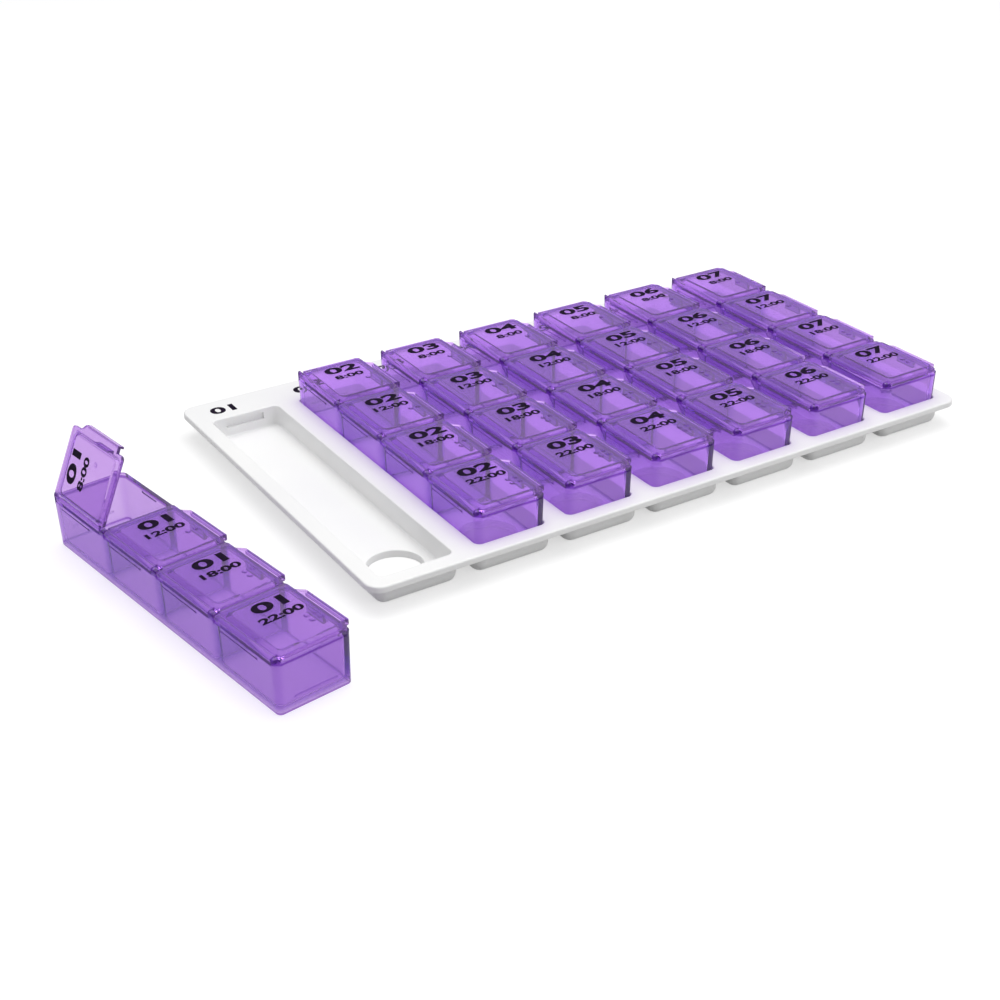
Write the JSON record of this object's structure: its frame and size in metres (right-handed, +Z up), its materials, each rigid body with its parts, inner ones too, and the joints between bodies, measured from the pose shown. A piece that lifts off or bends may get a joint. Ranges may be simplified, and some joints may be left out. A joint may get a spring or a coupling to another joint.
{
  "type": "pill organizer",
  "caption": "Weekly pill organizer: a flat tray with a trough for each day, which holds a lift-out box of compartments with hinged snap lids.",
  "frame": {"origin": "on the table, in the middle of the underside of the fourth day's trough", "axes": "+X along the week, from the first day to the last; +Y from the bedtime end to the morning end, where the tray's wide border is; +Z up"},
  "size_m": [0.2866, 0.1668, 0.0393],
  "materials": {
    "tray_white": "satin white",
    "box_purple": "polished, translucent",
    "lid_purple": "polished, translucent, printed in black"
  },
  "bodies": {
    "tray": {"tray": "tray_white"},
    "day_1_box": {"day_1_box": "box_purple"},
    "day_1_morning_lid": {"day_1_morning_lid": "lid_purple"},
    "day_1_noon_lid": {"day_1_noon_lid": "lid_purple"},
    "day_1_evening_lid": {"day_1_evening_lid": "lid_purple"},
    "day_1_bedtime_lid": {"day_1_bedtime_lid": "lid_purple"},
    "day_2_box": {"day_2_box": "box_purple"},
    "day_2_morning_lid": {"day_2_morning_lid": "lid_purple"},
    "day_2_noon_lid": {"day_2_noon_lid": "lid_purple"},
    "day_2_evening_lid": {"day_2_evening_lid": "lid_purple"},
    "day_2_bedtime_lid": {"day_2_bedtime_lid": "lid_purple"},
    "day_3_box": {"day_3_box": "box_purple"},
    "day_3_morning_lid": {"day_3_morning_lid": "lid_purple"},
    "day_3_noon_lid": {"day_3_noon_lid": "lid_purple"},
    "day_3_evening_lid": {"day_3_evening_lid": "lid_purple"},
    "day_3_bedtime_lid": {"day_3_bedtime_lid": "lid_purple"},
    "day_4_box": {"day_4_box": "box_purple"},
    "day_4_morning_lid": {"day_4_morning_lid": "lid_purple"},
    "day_4_noon_lid": {"day_4_noon_lid": "lid_purple"},
    "day_4_evening_lid": {"day_4_evening_lid": "lid_purple"},
    "day_4_bedtime_lid": {"day_4_bedtime_lid": "lid_purple"},
    "day_5_box": {"day_5_box": "box_purple"},
    "day_5_morning_lid": {"day_5_morning_lid": "lid_purple"},
    "day_5_noon_lid": {"day_5_noon_lid": "lid_purple"},
    "day_5_evening_lid": {"day_5_evening_lid": "lid_purple"},
    "day_5_bedtime_lid": {"day_5_bedtime_lid": "lid_purple"},
    "day_6_box": {"day_6_box": "box_purple"},
    "day_6_morning_lid": {"day_6_morning_lid": "lid_purple"},
    "day_6_noon_lid": {"day_6_noon_lid": "lid_purple"},
    "day_6_evening_lid": {"day_6_evening_lid": "lid_purple"},
    "day_6_bedtime_lid": {"day_6_bedtime_lid": "lid_purple"},
    "day_7_box": {"day_7_box": "box_purple"},
    "day_7_morning_lid": {"day_7_morning_lid": "lid_purple"},
    "day_7_noon_lid": {"day_7_noon_lid": "lid_purple"},
    "day_7_evening_lid": {"day_7_evening_lid": "lid_purple"},
    "day_7_bedtime_lid": {"day_7_bedtime_lid": "lid_purple"}
  },
  "joints": [
    {"name": "day_1_box_lift", "type": "slide", "parent": "tray", "child": "day_1_box", "axis": [0, 0, 1], "range_m": [0, 0.025]},
    {"name": "day_1_morning_lid_hinge", "type": "hinge", "parent": "day_1_box", "child": "day_1_morning_lid", "pos_m": [-0.17008, 0.00941, 0.01655], "axis": [0.1513, -0.9885, 0], "range_deg": [-65, 55]},
    {"name": "day_1_noon_lid_hinge", "type": "hinge", "parent": "day_1_box", "child": "day_1_noon_lid", "pos_m": [-0.16566, -0.01951, 0.01655], "axis": [0.1513, -0.9885, 0], "range_deg": [0, 120]},
    {"name": "day_1_evening_lid_hinge", "type": "hinge", "parent": "day_1_box", "child": "day_1_evening_lid", "pos_m": [-0.16123, -0.04842, 0.01655], "axis": [0.1513, -0.9885, 0], "range_deg": [0, 120]},
    {"name": "day_1_bedtime_lid_hinge", "type": "hinge", "parent": "day_1_box", "child": "day_1_bedtime_lid", "pos_m": [-0.15681, -0.07733, 0.01655], "axis": [0.1513, -0.9885, 0], "range_deg": [0, 120]},
    {"name": "day_2_box_lift", "type": "slide", "parent": "tray", "child": "day_2_box", "axis": [0, 0, 1], "range_m": [0, 0.025]},
    {"name": "day_2_morning_lid_hinge", "type": "hinge", "parent": "day_2_box", "child": "day_2_morning_lid", "pos_m": [-0.075, 0.04387, 0.01895], "axis": [0, -1, 0], "range_deg": [0, 120]},
    {"name": "day_2_noon_lid_hinge", "type": "hinge", "parent": "day_2_box", "child": "day_2_noon_lid", "pos_m": [-0.075, 0.01463, 0.01895], "axis": [0, -1, 0], "range_deg": [0, 120]},
    {"name": "day_2_evening_lid_hinge", "type": "hinge", "parent": "day_2_box", "child": "day_2_evening_lid", "pos_m": [-0.075, -0.01463, 0.01895], "axis": [0, -1, 0], "range_deg": [0, 120]},
    {"name": "day_2_bedtime_lid_hinge", "type": "hinge", "parent": "day_2_box", "child": "day_2_bedtime_lid", "pos_m": [-0.075, -0.04387, 0.01895], "axis": [0, -1, 0], "range_deg": [0, 120]},
    {"name": "day_3_box_lift", "type": "slide", "parent": "tray", "child": "day_3_box", "axis": [0, 0, 1], "range_m": [0, 0.025]},
    {"name": "day_3_morning_lid_hinge", "type": "hinge", "parent": "day_3_box", "child": "day_3_morning_lid", "pos_m": [-0.043, 0.04387, 0.01895], "axis": [0, -1, 0], "range_deg": [0, 120]},
    {"name": "day_3_noon_lid_hinge", "type": "hinge", "parent": "day_3_box", "child": "day_3_noon_lid", "pos_m": [-0.043, 0.01463, 0.01895], "axis": [0, -1, 0], "range_deg": [0, 120]},
    {"name": "day_3_evening_lid_hinge", "type": "hinge", "parent": "day_3_box", "child": "day_3_evening_lid", "pos_m": [-0.043, -0.01463, 0.01895], "axis": [0, -1, 0], "range_deg": [0, 120]},
    {"name": "day_3_bedtime_lid_hinge", "type": "hinge", "parent": "day_3_box", "child": "day_3_bedtime_lid", "pos_m": [-0.043, -0.04387, 0.01895], "axis": [0, -1, 0], "range_deg": [0, 120]},
    {"name": "day_4_box_lift", "type": "slide", "parent": "tray", "child": "day_4_box", "axis": [0, 0, 1], "range_m": [0, 0.025]},
    {"name": "day_4_morning_lid_hinge", "type": "hinge", "parent": "day_4_box", "child": "day_4_morning_lid", "pos_m": [-0.011, 0.04387, 0.01895], "axis": [0, -1, 0], "range_deg": [0, 120]},
    {"name": "day_4_noon_lid_hinge", "type": "hinge", "parent": "day_4_box", "child": "day_4_noon_lid", "pos_m": [-0.011, 0.01463, 0.01895], "axis": [0, -1, 0], "range_deg": [0, 120]},
    {"name": "day_4_evening_lid_hinge", "type": "hinge", "parent": "day_4_box", "child": "day_4_evening_lid", "pos_m": [-0.011, -0.01463, 0.01895], "axis": [0, -1, 0], "range_deg": [0, 120]},
    {"name": "day_4_bedtime_lid_hinge", "type": "hinge", "parent": "day_4_box", "child": "day_4_bedtime_lid", "pos_m": [-0.011, -0.04387, 0.01895], "axis": [0, -1, 0], "range_deg": [0, 120]},
    {"name": "day_5_box_lift", "type": "slide", "parent": "tray", "child": "day_5_box", "axis": [0, 0, 1], "range_m": [0, 0.025]},
    {"name": "day_5_morning_lid_hinge", "type": "hinge", "parent": "day_5_box", "child": "day_5_morning_lid", "pos_m": [0.021, 0.04387, 0.01895], "axis": [0, -1, 0], "range_deg": [0, 120]},
    {"name": "day_5_noon_lid_hinge", "type": "hinge", "parent": "day_5_box", "child": "day_5_noon_lid", "pos_m": [0.021, 0.01463, 0.01895], "axis": [0, -1, 0], "range_deg": [0, 120]},
    {"name": "day_5_evening_lid_hinge", "type": "hinge", "parent": "day_5_box", "child": "day_5_evening_lid", "pos_m": [0.021, -0.01463, 0.01895], "axis": [0, -1, 0], "range_deg": [0, 120]},
    {"name": "day_5_bedtime_lid_hinge", "type": "hinge", "parent": "day_5_box", "child": "day_5_bedtime_lid", "pos_m": [0.021, -0.04387, 0.01895], "axis": [0, -1, 0], "range_deg": [0, 120]},
    {"name": "day_6_box_lift", "type": "slide", "parent": "tray", "child": "day_6_box", "axis": [0, 0, 1], "range_m": [0, 0.025]},
    {"name": "day_6_morning_lid_hinge", "type": "hinge", "parent": "day_6_box", "child": "day_6_morning_lid", "pos_m": [0.053, 0.04387, 0.01895], "axis": [0, -1, 0], "range_deg": [0, 120]},
    {"name": "day_6_noon_lid_hinge", "type": "hinge", "parent": "day_6_box", "child": "day_6_noon_lid", "pos_m": [0.053, 0.01463, 0.01895], "axis": [0, -1, 0], "range_deg": [0, 120]},
    {"name": "day_6_evening_lid_hinge", "type": "hinge", "parent": "day_6_box", "child": "day_6_evening_lid", "pos_m": [0.053, -0.01463, 0.01895], "axis": [0, -1, 0], "range_deg": [0, 120]},
    {"name": "day_6_bedtime_lid_hinge", "type": "hinge", "parent": "day_6_box", "child": "day_6_bedtime_lid", "pos_m": [0.053, -0.04387, 0.01895], "axis": [0, -1, 0], "range_deg": [0, 120]},
    {"name": "day_7_box_lift", "type": "slide", "parent": "tray", "child": "day_7_box", "axis": [0, 0, 1], "range_m": [0, 0.025]},
    {"name": "day_7_morning_lid_hinge", "type": "hinge", "parent": "day_7_box", "child": "day_7_morning_lid", "pos_m": [0.085, 0.04387, 0.01895], "axis": [0, -1, 0], "range_deg": [0, 120]},
    {"name": "day_7_noon_lid_hinge", "type": "hinge", "parent": "day_7_box", "child": "day_7_noon_lid", "pos_m": [0.085, 0.01463, 0.01895], "axis": [0, -1, 0], "range_deg": [0, 120]},
    {"name": "day_7_evening_lid_hinge", "type": "hinge", "parent": "day_7_box", "child": "day_7_evening_lid", "pos_m": [0.085, -0.01463, 0.01895], "axis": [0, -1, 0], "range_deg": [0, 120]},
    {"name": "day_7_bedtime_lid_hinge", "type": "hinge", "parent": "day_7_box", "child": "day_7_bedtime_lid", "pos_m": [0.085, -0.04387, 0.01895], "axis": [0, -1, 0], "range_deg": [0, 120]}
  ]
}
